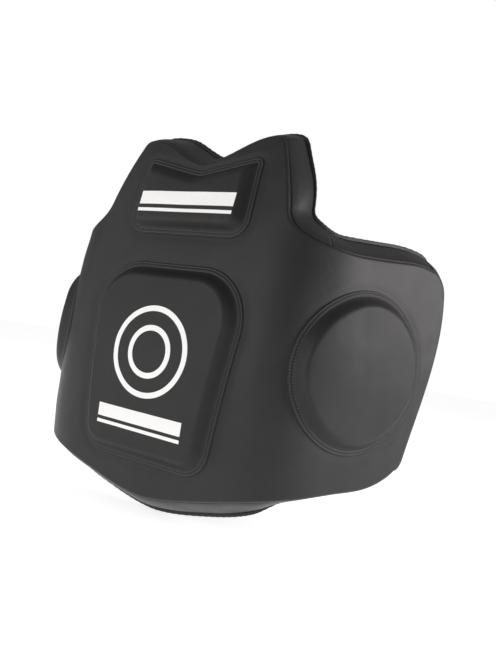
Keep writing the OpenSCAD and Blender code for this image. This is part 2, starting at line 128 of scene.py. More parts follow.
def resample(path, count, closed=False):
    """The same path with evenly spaced points."""
    if closed:
        path = np.concatenate([path, path[:1]])
    along = lengths(path)
    even = look_up(np.linspace(0, along[-1], count + 1 if closed else count), along, path)
    return even[:-1] if closed else even


def left_normals(path, closed=False):
    """Unit normals to the left of a flat path."""
    if closed:
        run = np.roll(path, -1, 0) - np.roll(path, 1, 0)
    else:
        run = np.gradient(path, axis=0)
    run = run/np.linalg.norm(run, axis=1, keepdims=True)
    return np.stack([-run[:, 1], run[:, 0]], 1)


PLAN_S = np.arange(0, 701, 1.0)


def heading(s):
    return math.radians(FLANK_ANGLE)*ease((np.abs(s) - BEND_START)/(BEND_END - BEND_START))


PLAN_X = np.concatenate([[0], np.cumsum(np.cos(heading(PLAN_S[:-1] + 0.5)))])
PLAN_Y = np.concatenate([[0], np.cumsum(np.sin(heading(PLAN_S[:-1] + 0.5)))])


def profile(z):
    q = (z - MID_H)/MID_H
    return PITCH*q + CURL*q*q


ORIGIN_Y = BODY_T + profile(WAIST_H)


def at(s, z, d):
    """Place of a point of the body in the row frame, in millimetres."""
    s, z, d = np.broadcast_arrays(np.asarray(s, float), z, d)
    a, h = np.abs(s), heading(s)
    x = np.sign(s)*(np.interp(a, PLAN_S, PLAN_X) - np.sin(h)*d)
    y = np.interp(a, PLAN_S, PLAN_Y) + np.cos(h)*d + profile(z) - ORIGIN_Y
    return np.stack([x, y, z - WAIST_H], -1)


# ---- Outline: column u runs from a hem point (v = 0) to the top point above it (v = 1) ----

def soften(normals, reach):
    """Directions along a path averaged over neighbours, so that offsets open out in a hollow."""
    spread = np.exp(-(np.arange(-3*reach, 3*reach + 1)/reach)**2/2)
    padded = np.pad(normals, ((3*reach, 3*reach), (0, 0)), mode="edge")
    blend = np.stack([np.convolve(padded[:, k], spread, "valid") for k in (0, 1)], 1)
    return blend/np.linalg.norm(blend, axis=1, keepdims=True)


TOP = resample(bezier_path(TOP_CURVES), 600)
TOP_SHARE = np.linspace(0, 1, len(TOP))
hem_curve = bezier_path(HEM_CURVES)
HEM = TOP[:, :1]*REAR_LOW_S/REAR_S
HEM = np.concatenate([HEM, np.interp(HEM, hem_curve[:, 0], hem_curve[:, 1])], 1)
sideways = ease(TOP[:, :1]/CENTRE_FADE)
TOP_OUT = soften(left_normals(TOP), TOP_SOFT)*sideways + np.array([0, 1])*(1 - sideways)
HEM_OUT = -left_normals(HEM)*sideways + np.array([0, -1])*(1 - sideways)


def reach_at(s, fades):
    """Reach of the lining's edge past the cover's edge at s."""
    return BEVEL + sum((b - a)*ease((s - s0)/(s1 - s0)) for a, b, s0, s1 in fades)


def ends_close(count):
    """Shares from 0 to 1 that lie closer together towards both ends."""
    return 0.5 - 0.5*np.cos(np.linspace(0, math.pi, count))


def corner_cut(v):
    """How far the round rear corners draw the rear edge in, at share v of the way up it."""
    (top_share, top_reach), (low_share, low_reach) = TOP_CORNER, LOW_CORNER
    top, low = np.clip(1 - (1 - v)/top_share, 0, 1), np.clip(1 - v/low_share, 0, 1)
    return top_reach*(1 - np.sqrt(1 - top**2)) + low_reach*(1 - np.sqrt(1 - low**2))


def column(u, v, d, out=0):
    """(s, z) at a share v of the way up column u at depth d, with the outline moved out by out."""
    u, v, d, out = np.broadcast_arrays(np.asarray(u, float), v, d, out)
    k = d/BODY_T
    hem, hem_out, top, top_out = (look_up(np.abs(u), TOP_SHARE, table)
                                  for table in (HEM, HEM_OUT, TOP, TOP_OUT))
    top_s = top[..., 0]
    low = reach_at(hem[..., 0], HEM_FADES)*k + out
    high = reach_at(top_s, TOP_FADES)*k + out
    s, z = ((hem[..., i] + hem_out[..., i]*low)*(1 - v) + (top[..., i] + top_out[..., i]*high)*v
            for i in (0, 1))
    rear = ease((top_s - REAR_START)/(REAR_S - REAR_START))
    bow = 4*v*(1 - v)*(REAR_BOW + REAR_SKEW*(v - 0.5))
    s = s + rear*(bow + REAR_BEVEL*k + out - corner_cut(v))
    return np.sign(u)*s, z


def outline_loop(d, spacing=3):
    """Closed outline at a depth, as (s, z) points."""
    u = np.linspace(-1, 1, 900)
    v = ends_close(300)[-2:0:-1]
    parts = [column(u, 1, d), column(1, v, d), column(-u, 0, d), column(-1, v[::-1], d)]
    loop = np.concatenate([np.stack(p, 1) for p in parts])
    return resample(loop, int(lengths(loop)[-1]/spacing), closed=True)


def distance(points, path):
    """Distance of each point from a closed path."""
    fine = resample(path, int(lengths(path)[-1]/0.6), closed=True)
    tree = KDTree(len(fine))
    for i, (s, z) in enumerate(fine.tolist()):
        tree.insert((s, z, 0), i)
    tree.balance()
    found = [tree.find((s, z, 0))[2] for s, z in points.reshape(-1, 2).tolist()]
    return np.array(found).reshape(points.shape[:-1])


WAVE_COUNT = 7


def waves(s, z, length, seed):
    """Smooth random waviness of about -1 to 1, whose waves are about length long."""
    rng = np.random.default_rng(seed)
    total = np.zeros(np.broadcast(s, z).shape)
    for _ in range(WAVE_COUNT):
        angle, phase = rng.uniform(0, 2*math.pi, 2)
        size = length*rng.uniform(0.7, 1.5)
        total += np.sin((s*math.cos(angle) + z*math.sin(angle))*2*math.pi/size + phase)
    return total/math.sqrt(WAVE_COUNT)/1.3


# ---- Meshes ----

def grid_faces(nu, nv, loop_u=False, loop_v=False):
    """Four-cornered faces of a grid of points, closed round on itself along u or v if it loops."""
    cells_u, cells_v = nu if loop_u else nu - 1, nv if loop_v else nv - 1
    i, j = np.meshgrid(np.arange(cells_u), np.arange(cells_v), indexing="ij")
    i, j = i.ravel(), j.ravel()
    i2, j2 = (i + 1) % nu, (j + 1) % nv
    return np.stack([i*nv + j, i2*nv + j, i2*nv + j2, i*nv + j2], 1)


def place_object(name, data):
    piece = bpy.data.objects.new(name, data)
    bpy.context.scene.collection.objects.link(piece)
    return piece


def solid(name, points, faces, material, crease=50):
    """Object with a closed surface, turned outwards, from arrays of faces with equal numbers of corners."""
    points = np.asarray(points, float).reshape(-1, 3)*MM
    volume = 0
    for f in faces:
        for k in range(1, f.shape[1] - 1):
            a, b, c = points[f[:, 0]], points[f[:, k]], points[f[:, k + 1]]
            volume += (a*np.cross(b, c)).sum()
    if volume < 0:
        faces = [f[:, ::-1] for f in faces]
    corners = np.concatenate([f.ravel() for f in faces])
    sizes = np.concatenate([np.full(len(f), f.shape[1]) for f in faces])
    data = bpy.data.meshes.new(name)
    data.vertices.add(len(points))
    data.vertices.foreach_set("co", points.astype(np.float32).ravel())
    data.loops.add(len(corners))
    data.loops.foreach_set("vertex_index", corners.astype(np.int32))
    data.polygons.add(len(sizes))
    data.polygons.foreach_set("loop_start", np.concatenate([[0], np.cumsum(sizes)[:-1]]).astype(np.int32))
    data.update(calc_edges=True)
    data.validate()
    data.shade_smooth()
    data.set_sharp_from_angle(angle=math.radians(crease))
    data.materials.append(material)
    return place_object(name, data)


def slab(name, front, back, material, crease=50):
    """Closed solid between two grids of points."""
    nu, nv = front.shape[:2]
    n = nu*nv
    faces = grid_faces(nu, nv)
    i, j = np.arange(nu - 1)*nv, np.arange(nv - 1)
    i2, far, last = i + nv, nv - 1, (nu - 1)*nv
    rims = [np.stack([i2, i, n + i, n + i2], 1),
            np.stack([i + far, i2 + far, n + i2 + far, n + i + far], 1),
            np.stack([j, j + 1, n + j + 1, n + j], 1),
            np.stack([last + j + 1, last + j, n + last + j, n + last + j + 1], 1)]
    every = [np.concatenate([faces, faces[:, ::-1] + n] + rims)]
    return solid(name, np.concatenate([front.reshape(-1, 3), back.reshape(-1, 3)]), every, material, crease)


def disc(name, front, back, material):
    """Closed solid between two round grids (spokes, rings), whose last ring is a single middle point."""
    na, nr = front.shape[:2]
    half = na*(nr - 1) + 1
    tops = [np.concatenate([g[:, :-1].reshape(-1, 3), g[:1, -1]]) for g in (front, back)]
    faces = grid_faces(na, nr - 1, loop_u=True)
    a = np.arange(na)
    a2 = (a + 1) % na
    w = nr - 1
    hub = np.stack([a*w + w - 1, a2*w + w - 1, np.full(na, half - 1)], 1)
    rim = np.stack([a2*w, a*w, half + a*w, half + a2*w], 1)
    every = [np.concatenate([faces, faces[:, ::-1] + half, rim]),
             np.concatenate([hub, hub[:, ::-1] + half])]
    return solid(name, np.concatenate(tops), every, material)


def tube(name, rings, material, closed=False):
    """Closed solid through rings of points, with flat ends unless it is a closed loop."""
    n, m = rings.shape[:2]
    faces = [grid_faces(n, m, loop_u=closed, loop_v=True)]
    if not closed:
        faces.append(np.stack([np.arange(m)[::-1], np.arange(m) + (n - 1)*m]))
    return solid(name, rings, faces, material)


def unit(v):
    return v/np.maximum(np.linalg.norm(v, axis=-1, keepdims=True), 1e-12)


def stitches(name, line, up, owner, pitch=3.4, length=2.7, thread=0.75, closed=False):
    """Row of stitches along a line of points on a surface whose outward direction is up."""
    if closed:
        line, up = np.concatenate([line, line[:1]]), np.concatenate([up, up[:1]])
    along = lengths(line)
    count = max(2, int(along[-1]/pitch))
    middle = (np.arange(count) + 0.5)*along[-1]/count
    before, centre, after = (look_up(middle + shift, along, line) for shift in (-length/4, 0, length/4))
    run = unit(after - before)
    normal = unit(look_up(middle, along, up))
    across = unit(np.cross(run, normal))
    share = np.array([-0.5, -0.38, -0.15, 0.15, 0.38, 0.5])
    arch = np.cos(math.pi*share)
    turn = np.arange(6)*math.pi/3
    radius = thread/2*(0.55 + 0.45*arch)
    height = thread*(0.75*arch - 0.45)
    rings = (centre[:, None] + run[:, None]*(share*length)[None, :, None]
             + normal[:, None]*height[None, :, None])
    around = (across[:, None, None]*np.cos(turn)[None, None, :, None]
              + normal[:, None, None]*np.sin(turn)[None, None, :, None])
    points = rings[:, :, None] + around*radius[None, :, None, None]
    rows, m = len(share), len(turn)
    base = (np.arange(count)*rows*m)[:, None, None]
    walls = (grid_faces(rows, m, loop_v=True)[None] + base).reshape(-1, 4)
    ends = (np.stack([np.arange(m)[::-1], np.arange(m) + (rows - 1)*m])[None] + base).reshape(-1, m)
    piece = solid(name, points, [walls, ends], THREAD, crease=80)
    piece.parent = owner
    return piece


# ---- Materials ----

class Nodes:
    """Node tree of one material, with its shader."""

    def __init__(self, name, **sockets):
        self.material = bpy.data.materials.new(name)
        self.material.use_nodes = True
        self.tree = self.material.node_tree
        self.shader = self.tree.nodes["Principled BSDF"]
        for socket, value in sockets.items():
            self.shader.inputs[socket.replace("_", " ")].default_value = value
        self.place = self.add("ShaderNodeTexCoord").outputs["Object"]

    def feed(self, socket, value):
        """Give a socket another node's output, or a fixed value."""
        if isinstance(value, bpy.types.NodeSocket):
            self.tree.links.new(value, socket)
        else:
            socket.default_value = value

    def add(self, kind, **sockets):
        node = self.tree.nodes.new(kind)
        for socket, value in sockets.items():
            self.feed(node.inputs[socket.replace("_", " ")], value)
        return node

    def finish(self, colour, roughness, normal=None):
        """The material, with what its shader takes its colour, roughness and normal from."""
        self.feed(self.shader.inputs["Base Color"], colour)
        self.feed(self.shader.inputs["Roughness"], roughness)
        if normal is not None:
            self.feed(self.shader.inputs["Normal"], normal)
        return self.material

    def noise(self, scale, detail=3, roughness=0.5):
        return self.add("ShaderNodeTexNoise", Vector=self.place, Scale=scale, Detail=detail,
                        Roughness=roughness).outputs["Fac"]

    def spread(self, value, low, high, start=0.3, end=0.7):
        return self.add("ShaderNodeMapRange", Value=value, From_Min=start, From_Max=end, To_Min=low,
                        To_Max=high).outputs["Result"]

    def math(self, operation, a, b):
        node = self.tree.nodes.new("ShaderNodeMath")
        node.operation = operation
        self.feed(node.inputs[0], a)
        self.feed(node.inputs[1], b)
        return node.outputs[0]

    def mix(self, share, a, b):
        node = self.tree.nodes.new("ShaderNodeMix")
        node.data_type = "RGBA"
        self.feed(node.inputs["Factor"], share)
        for k, colour in ((6, a), (7, b)):
            self.feed(node.inputs[k], (*colour, 1) if isinstance(colour, tuple) else colour)
        return node.outputs[2]

    def bump(self, height, strength, depth, after=None):
        node = self.add("ShaderNodeBump", Height=height, Strength=strength, Distance=depth)
        if after is not None:
            self.feed(node.inputs["Normal"], after)
        return node.outputs["Normal"]


def leather(name, dark, light, rough, grain, depth):
    """Coated leather: fine pebble grain with painted shade in its grooves, small differences of colour and
    gloss, and broad soft marks.
    """
    n = Nodes(name, Specular_IOR_Level=0.36, Coat_Weight=0.05, Coat_Roughness=0.25)
    broad = n.noise(7, 4, 0.55)
    cells = n.add("ShaderNodeTexVoronoi", Vector=n.place, Scale=grain)
    cells.feature = "DISTANCE_TO_EDGE"
    pebble = n.spread(cells.outputs["Distance"], 0, 1, 0, 0.12)
    fine = n.noise(grain*2.5, 2)
    colour = n.mix(n.spread(broad, 0.0, 1.0), dark, light)
    # Painted shade: the grooves between the pebbles are pulled towards a darker copy of the colour.
    painted_groove_shade = n.mix(n.spread(pebble, 0.35, 0.0, 0, 1), colour, tuple(c*0.55 for c in dark))
    gloss = n.spread(n.noise(23, 3), rough - 0.035, rough + 0.035)
    soft = n.bump(n.noise(70, 3), 0.35, 0.0005)
    return n.finish(painted_groove_shade, n.math("ADD", gloss, n.spread(fine, 0, 0.06)),
                    n.bump(pebble, 0.5, depth, n.bump(fine, 0.3, depth/2, soft)))


def cloth(name, dark, light, rough, threads, depth):
    """Plain weave: two sets of threads at right angles, passing over and under each other."""
    n = Nodes(name, Specular_IOR_Level=0.35, Sheen_Weight=0.25, Sheen_Roughness=0.4)
    split = n.add("ShaderNodeSeparateXYZ", Vector=n.place)
    over = n.math("SINE", n.math("MULTIPLY", split.outputs["X"], threads*2*math.pi), 0)
    under = n.math("SINE", n.math("MULTIPLY", split.outputs["Z"], threads*2*math.pi), 0)
    weave = n.spread(n.math("MULTIPLY", over, under), 0, 1, -1, 1)
    return n.finish(n.mix(n.math("MULTIPLY", weave, n.spread(n.noise(9, 4), 0.6, 1.0)), dark, light),
                    n.spread(n.noise(30, 3), rough - 0.05, rough + 0.05),
                    n.bump(weave, 0.6, depth, n.bump(n.noise(120, 3), 0.4, 0.0004)))


def webbing(name, dark, light, along):
    """Woven band: ribs that slant across it in a herringbone, finer than a millimetre."""
    n = Nodes(name, Specular_IOR_Level=0.4, Sheen_Weight=0.2, Sheen_Roughness=0.35)
    split = n.add("ShaderNodeSeparateXYZ", Vector=n.place)
    side, run = split.outputs["X" if along == "Z" else "Z"], split.outputs[along]
    zigzag = n.math("PINGPONG", side, 0.005)
    ribs = n.math("SINE", n.math("MULTIPLY", n.math("ADD", run, zigzag), 2*math.pi/0.0016), 0)
    warp = n.math("SINE", n.math("MULTIPLY", side, 2*math.pi/0.0022), 0)
    weave = n.spread(n.math("ADD", ribs, n.math("MULTIPLY", warp, 0.5)), 0, 1, -1.5, 1.5)
    return n.finish(n.mix(weave, dark, light), n.spread(n.noise(40, 3), 0.5, 0.62),
                    n.bump(weave, 0.7, 0.0004))


def plastic(name, colour, rough):
    """Moulded plastic with a fine spark-eroded texture and a few rubbed places."""
    n = Nodes(name, Specular_IOR_Level=0.5)
    rubbed = tuple(c*1.5 + 0.004 for c in colour)
    return n.finish(n.mix(n.spread(n.noise(35, 4), 0, 1), colour, rubbed),
                    n.spread(n.noise(60, 4), rough - 0.06, rough + 0.08),
                    n.bump(n.noise(2600, 2), 0.25, 0.0001))


def ink(name):
    """White screen print that lets the leather's grain through."""
    n = Nodes(name, Specular_IOR_Level=0.4)
    thin = n.spread(n.noise(900, 3), 0, 1, 0.25, 0.42)
    return n.finish(n.mix(thin, (0.8, 0.8, 0.79), (0.93, 0.93, 0.92)), n.spread(n.noise(40, 3), 0.42, 0.55),
                    n.bump(n.noise(1500, 2), 0.2, 0.0001))


def foam(name):
    """Closed-cell foam."""
    n = Nodes(name, Specular_IOR_Level=0.3)
    cells = n.add("ShaderNodeTexVoronoi", Vector=n.place, Scale=700).outputs["Distance"]
    return n.finish(n.mix(n.spread(cells, 0, 1, 0, 0.6), (0.07, 0.07, 0.075), (0.12, 0.12, 0.13)),
                    n.spread(n.noise(50, 3), 0.8, 0.95), n.bump(cells, 0.6, 0.0005))


def yarn(name):
    """Polyester sewing thread."""
    n = Nodes(name, Specular_IOR_Level=0.5, Sheen_Weight=0.2)
    twist = n.noise(3000, 2)
    return n.finish(n.mix(twist, (0.05, 0.05, 0.05), (0.17, 0.167, 0.165)), n.spread(twist, 0.4, 0.6))


def floor_paint(name):
    """Matt pale floor."""
    n = Nodes(name, Specular_IOR_Level=0.1, Emission_Color=(1, 1, 1, 1), Emission_Strength=0.74)
    return n.finish(n.mix(n.noise(2, 3), (0.9, 0.9, 0.9), (0.94, 0.94, 0.94)),
                    n.spread(n.noise(8, 3), 0.85, 0.95))


WEB_DARK, WEB_LIGHT = (0.010, 0.010, 0.011), (0.040, 0.040, 0.042)
LEATHER = leather("leather_black", (0.010, 0.0095, 0.0094), (0.0135, 0.013, 0.0128), 0.36, 900, 0.00025)
STRIKE = leather("strike_leather", (0.0095, 0.0092, 0.0091), (0.0125, 0.0121, 0.012), 0.44, 900, 0.00025)
LINING = cloth("lining_cloth", (0.010, 0.010, 0.011), (0.036, 0.036, 0.038), 0.68, 500, 0.0004)
WEB_DOWN = webbing("webbing_down", WEB_DARK, WEB_LIGHT, "Z")
WEB_ROUND = webbing("webbing_round", WEB_DARK, WEB_LIGHT, "X")
PLASTIC = plastic("plastic_black", (0.014, 0.014, 0.015), 0.36)
PRINT = ink("print_white")
FOAM = foam("foam_grey")
THREAD = yarn("thread_black")


# ---- Outer shell ----

ROLL, ROLL_STEPS = 5, 6   # radius of the cover's rolled edge, and rings of the mesh round it
SHELL_CELLS = (330, 132)  # points of the cover's mesh along and up the front
SWELL = (1.4, 60)         # height of the foam-backed swell, and how far from the edge it is reached
SHELL_WAVES = [(0.55, 150, 3, 45), (0.18, 48, 5, 20)]   # height, length, seed and fade from the edge
SEWN_DIP = (1.3, 7)       # depth and reach of the dip along a pad's sewn edge
OUTLINE = outline_loop(0)


def rounded_corner(p, q, r, radius):
    """Arc that rounds the corner q of a path p, q, r."""
    u, v = unit(p - q), unit(r - q)
    half = math.acos(np.clip(u @ v, -1, 1))/2
    middle = q + unit(u + v)*radius/math.sin(half)
    a0, a1 = q + u*radius/math.tan(half) - middle, q + v*radius/math.tan(half) - middle
    start = math.atan2(a0[1], a0[0])
    turn = (math.atan2(a1[1], a1[0]) - start + math.pi) % (2*math.pi) - math.pi
    angle = start + turn*np.linspace(0, 1, 25)
    return middle + radius*np.stack([np.cos(angle), np.sin(angle)], 1)


def rounded_outline(corners):
    """Closed outline through corners (s, z, radius)."""
    places, radii = np.array(corners, float)[:, :2], [corner[2] for corner in corners]
    turns = zip(np.roll(places, 1, 0), places, np.roll(places, -1, 0), radii)
    path = np.concatenate([rounded_corner(*turn) for turn in turns])
    return resample(path, int(lengths(path)[-1]/2.8), closed=True)


BELLY = rounded_outline([(-141, 345, 78), (141, 345, 78), (113, 53, 44), (-113, 53, 44)])
CHEST = rounded_outline([(-103, 511, 12), (0, 487, 30), (103, 511, 12), (109, 387, 30), (-109, 387, 30)])
SIDE_S, SIDE_H, SIDE_R = 318, 234, 115
round_side = np.linspace(0, -2*math.pi, 258)[:-1]
SIDE_LEFT = np.array([SIDE_S, SIDE_H]) + SIDE_R*np.stack([np.cos(round_side), np.sin(round_side)], 1)
SIDE_RIGHT = (SIDE_LEFT*np.array([-1, 1]))[::-1]
PADS = {                  # outline and middle of each strike pad
    "belly_pad": (BELLY, (0, 200)),
    "chest_pad": (CHEST, (0, 445)),
    "side_pad_left": (SIDE_LEFT, (SIDE_S, SIDE_H)),
    "side_pad_right": (SIDE_RIGHT, (-SIDE_S, SIDE_H)),
}


def lift(s, z):
    """How far the leather of the front stands out from the CAD face, in soft foam-backed swells."""
    place = np.stack(np.broadcast_arrays(s, z), -1)
    e = distance(place, OUTLINE)
    swell = SWELL[0]*ease(e/SWELL[1])
    for height, length, seed, reach in SHELL_WAVES:
        swell = swell + height*waves(s, z, length, seed)*ease(e/reach)
    for outline, _ in PADS.values():
        near = distance(place, outline)
        swell = swell - SEWN_DIP[0]*np.exp(-(near/SEWN_DIP[1])**2)
    return swell


def rolled(count):
    """Shares along a direction with extra rings at both ends, and how far each has turned, from 0 to 1."""
    share = np.concatenate([np.zeros(ROLL_STEPS), ends_close(count), np.ones(ROLL_STEPS)])
    ring = np.arange(1, ROLL_STEPS + 1)/ROLL_STEPS
    return share, np.concatenate([ring[::-1], np.zeros(count), ring])


def shell_grid(inner):
    """Grid over the front and its rolled edges, inner millimetres under the leather's face."""
    (cu, ring_u), (cv, ring_v) = (rolled(count) for count in SHELL_CELLS)
    u, v = (2*cu - 1)[:, None], cv[None]
    radius = ROLL - inner
    a, b = ring_u[:, None]*math.pi/2, ring_v[None]*math.pi/2
    level = np.cos(a)*np.cos(b)
    s, z = column(u, v, 0, -ROLL + radius*np.sqrt(1 - level**2))
    d = inner + radius*(1 - level)
    flat = np.clip(1 - np.maximum(ring_u[:, None], ring_v[None])*3, 0, 1)
    return at(s, z, d - lift(s, z)*flat)


def make_shell():
    shell = slab("outer_shell_leather", shell_grid(0), shell_grid(SKIN_T), LEATHER)
    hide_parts("outer_shell")
    return shell


# ---- Gussets ----

GUSSET_D = (5.2, 42.0)    # depth of the gussets' two seams
GUSSET_SINK, GUSSET_SWELL = -1.8, 2.6     # height of the seams, and of a gusset's middle over them
PUCKER = (0.3, 13)        # height and length of the puckers along the seams
END_DIP = (1.6, 2.2)      # depth and reach of the dip at a gusset's ends
GUSSET_STEP = 0.0052      # columns between a gusset's points
ROW_OFFSET = 0.0055       # columns from an end seam to its row of stitches


def crest(w):
    """Swell of a gusset at share w of the way between its seams."""
    return 1 - np.abs(2*w - 1)**3.2


def gusset_out(w):
    return GUSSET_SINK + GUSSET_SWELL*crest(w)


def gusset_grid(u, v, seed, inner):
    """Grid over a strip of the outline (u, v), which swells between its seams and puckers along them."""
    w = np.concatenate([[0], ease(np.linspace(0.12, 0.88, 17)), [1]])[None]
    w = (w - w.min())/(w.max() - w.min())
    d = GUSSET_D[0] + (GUSSET_D[1] - GUSSET_D[0])*w
    u, v = np.asarray(u, float)[:, None], np.asarray(v, float)[:, None]
    s0, z0 = column(u, v, 0)
    run = lengths(np.stack([s0[:, 0], z0[:, 0]], 1))[:, None]
    ends = np.minimum(run, run[-1] - run)
    high, long = PUCKER
    pucker = high*np.sin(run*2*math.pi/long + 2*waves(run, 0, 60, seed))*(1 - crest(w))
    out = gusset_out(w) + 0.5*waves(run, w*40, 90, seed + 1)*crest(w) + pucker
    out = out - END_DIP[0]*np.exp(-(ends/END_DIP[1])**2) - inner
    s, z = column(u, v, d, out)
    return at(s, z, d)


def make_gusset(node, u, v, seed):
    strip = slab(node + "_leather", gusset_grid(u, v, seed, 0), gusset_grid(u, v, seed, SKIN_T), LEATHER)
    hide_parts(node)
    return strip


def cross_row(u, owner, name):
    """Row of stitches across a gusset of the top edge, at column u."""
    d = np.linspace(GUSSET_D[0] + 2, GUSSET_D[1] - 2, 30)
    w = (d - GUSSET_D[0])/(GUSSET_D[1] - GUSSET_D[0])
    out = gusset_out(w)
    line = at(*column(u, 1, d, out), d)
    above = at(*column(u, 1, d, out + 5), d)
    stitches(name, line, unit(above - line), owner, pitch=2.6, length=2.0, thread=0.6)


def make_gussets():
    tip, seam = np.interp((TIP_S, SEAM_S), TOP[:, 0], TOP_SHARE)
    spans = [
        ("neck_gusset", -tip, tip),
        ("armhole_gusset_left", tip, seam),
        ("armhole_gusset_right", -seam, -tip),
        ("flank_gusset_left", seam, 1),
        ("flank_gusset_right", -1, -seam),
    ]
    made = {}
    for k, (name, u0, u1) in enumerate(spans):
        u = np.linspace(u0, u1, int((u1 - u0)/GUSSET_STEP))
        made[name] = make_gusset(name, u, np.ones(len(u)), 20 + k)
    v = ends_close(130)
    for k, (side, word) in enumerate(SIDES):
        name = f"rear_gusset_{word}"
        made[name] = make_gusset(name, np.full(len(v), float(side)), v, 30 + k)
    u = np.linspace(-1, 1, 340)
    made["hem_gusset"] = make_gusset("hem_gusset", u, np.zeros(len(u)), 40)
    for side, word in SIDES:
        for place, outer, inner in ((seam, "flank", "armhole"), (tip, "armhole", "neck")):
            for sign, which in ((1, outer), (-1, inner)):
                key = "neck_gusset" if which == "neck" else f"{which}_gusset_{word}"
                cross_row(side*(place + sign*ROW_OFFSET), made[key], f"stitches_{which}_{inner}_{word}")
    return made


# ---- Lining and its bound edge ----

def lining_grid(d0):
    """Grid over the lining at depth d0, puffed out by the foam behind it."""
    u = np.linspace(-1, 1, 220)[:, None]
    v = ends_close(90)[None]
    s, z = column(u, v, d0, 0)
    e = distance(np.stack([s, z], -1), outline_loop(BODY_T, 6))
    puff = (0.6 + 0.5*waves(s, z, 80, 50) + 0.2*waves(s, z, 26, 51))*ease(e/40)
    return at(s, z, d0 + puff)


def make_lining():
    lining = slab("inner_lining_cloth", lining_grid(BODY_T), lining_grid(BODY_T - SKIN_T), LINING)
    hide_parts("inner_lining")
    return lining


EDGE_STEP = 3.0           # spacing of the binding's rings
BINDING = (3.2, 1.8)      # half width and half thickness of the binding


def make_binding():
    """Tape folded over the lining's edge all round, with a row of stitches through it."""
    loop = outline_loop(BODY_T - 1, EDGE_STEP)
    for _ in range(4):
        loop = (np.roll(loop, 1, 0) + 2*loop + np.roll(loop, -1, 0))/4
    out = -left_normals(loop, closed=True)
    if distance(loop[:1] + out[:1]*20, OUTLINE)[0] < distance(loop[:1] - out[:1]*20, OUTLINE)[0]:
        out = -out        # away from the cover's outline, which lies inside the lining's
    angle = np.arange(16)*2*math.pi/16
    wide, thick = BINDING
    across = 0.2 + wide*np.sign(np.cos(angle))*np.abs(np.cos(angle))**0.7
    deep = thick*np.sign(np.sin(angle))*np.abs(np.sin(angle))**0.8
    run = np.arange(len(loop))*EDGE_STEP
    ripple = 0.25*np.sin(run*2*math.pi/11 + 3*waves(run, 0, 90, 60))
    s = loop[:, None, 0] + out[:, None, 0]*(across[None] + ripple[:, None])
    z = loop[:, None, 1] + out[:, None, 1]*(across[None] + ripple[:, None])
    d = BODY_T - 0.4 + deep[None]*(1 + 0.1*waves(run, 0, 30, 61))[:, None] + 0*s
    tape = tube("lining_binding", at(s, z, d), LEATHER, closed=True)
    row_s, row_z = (loop - out*1.5).T
    line = at(row_s, row_z, BODY_T + 1.5)
    under = at(row_s, row_z, BODY_T - 5)
    stitches("stitches_binding", line, unit(line - under), tape, pitch=3.8, length=3.0, closed=True)
    return tape


# ---- Strike pads ----

FLANGE = 9.2              # flat stitched border of a pad
SLOPE = 15                # width of the border's slope up to the raised face
ROWS = (2.9, 7.6)         # stitch rows, from the pad's edge
BORDER = np.array([0, 0.3, 0.8, 1.4, 2.1, 2.9, 3.7, 4.8, 5.9, 6.8, 7.6, 8.4, FLANGE])   # rings of the mesh
CLOSE_RINGS, CLOSE_STEP = 12, 1.6/90      # rings over the slope, and their share of the way to the middle


def pad_height(x):
    """Height of a pad's leather over the shell, at distance x from its edge."""
    lip = -0.8 + 2.7*np.sqrt(np.clip(1 - (1 - np.clip(x/1.8, 0, 1))**2, 0, 1))
    for row in ROWS:
        lip = lip - 0.75*np.exp(-((x - row)/0.9)**2)
    q = np.clip((x - FLANGE)/SLOPE, 0, 1)
    raised = q**1.25*(1 - q) + (1 - (1 - q)**2.2)*q
    return lip + (PAD_RISE + 0.2)*raised + 1.2*ease((x - FLANGE - SLOPE)/70)


def pad_places(outline, middle):
    """(spokes, rings, 2) places of a pad's mesh: even rings over its border, then towards its middle."""
    inward = -left_normals(outline, closed=True)
    centre = np.array(middle, float)
    if ((outline + inward - centre)**2).sum() > ((outline - centre)**2).sum():
        inward = -inward
    rings = outline[:, None] + inward[:, None]*BORDER[None, :, None]
    close = CLOSE_RINGS*CLOSE_STEP
    share = np.concatenate([np.arange(1, CLOSE_RINGS + 1)*CLOSE_STEP,
                            close + (1 - close)*np.linspace(0, 1, 13)[1:]**1.1])
    steps = share[None, :, None]
    inner = rings[:, -1:]*(1 - steps) + centre*steps
    return np.concatenate([rings, inner], 1)


def pad_surface(outline, s, z, over=0.0):
    """Points of a pad's raised leather at places (s, z), over millimetres above it."""
    x = distance(np.stack([s, z], -1), outline)
    h = pad_height(x)
    sag = 0.5*waves(s, z, 95, 70) + 0.12*waves(s, z, 30, 71)
    return at(s, z, -(lift(s, z) + h + over + sag*ease((x - FLANGE)/40)))


def make_pad(name):
    outline, middle = PADS[name]
    place = pad_places(outline, middle)
    s, z = place[..., 0], place[..., 1]
    top = pad_surface(outline, s, z)
    under = pad_surface(outline, s, z, -SKIN_T)
    cover = disc(name + "_leather", top, under, STRIKE)
    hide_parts(name.replace("pad", "pad_cover"))
    block = place[:, len(BORDER):]
    s, z = block[..., 0], block[..., 1]
    block_top = pad_surface(outline, s, z, -SKIN_T - GAP)
    block_back = at(s, z, -(lift(s, z) + 0.1 + 0.05*np.minimum(distance(block, outline), 1)))
    core = disc(name + "_block", block_top, block_back, FOAM)
    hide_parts(name.replace("pad", "pad_foam"))
    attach(core, "pad_body")
    inward = unit(place[:, len(BORDER) - 1] - place[:, 0])
    for k, row in enumerate(ROWS):
        s, z = (place[:, 0] + inward*row).T
        points = pad_surface(outline, s, z)
        stitches(f"stitches_{name}_{k + 1}", points, unit(points - at(s, z, 8)), cover, pitch=4.2,
                 length=3.1, thread=0.95, closed=True)
    return cover


# ---- Foam body inside the cover ----

